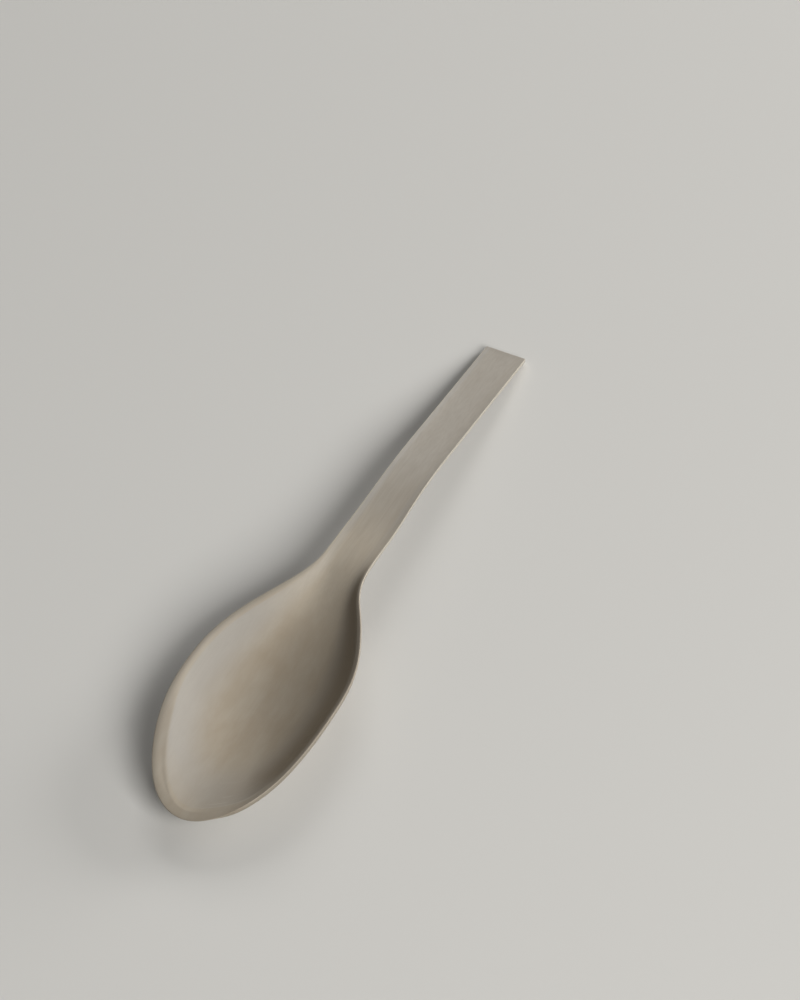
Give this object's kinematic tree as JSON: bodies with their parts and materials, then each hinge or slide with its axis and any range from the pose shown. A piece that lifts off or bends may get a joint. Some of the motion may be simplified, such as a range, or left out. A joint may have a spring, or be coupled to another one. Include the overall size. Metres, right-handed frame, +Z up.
{
  "type": "table spoon",
  "caption": "Hand-made metal table spoon with a long egg-shaped bowl, a rim filed level that is widest at the tip, and a flat bent strip handle, lying bowl up.",
  "frame": {"origin": "on the small flat under the bowl that the spoon rests on, at the bowl's widest place", "axes": "+X from the bowl to the handle end, +Z up out of the bowl, +Y to the left when looking along +X; the XZ plane halves the spoon"},
  "size_m": [0.1992, 0.0444, 0.0136],
  "materials": {
    "satin_silver": "satin, fine brushing along the handle"
  },
  "bodies": {
    "root": {"spoon": "satin_silver"}
  },
  "joints": []
}
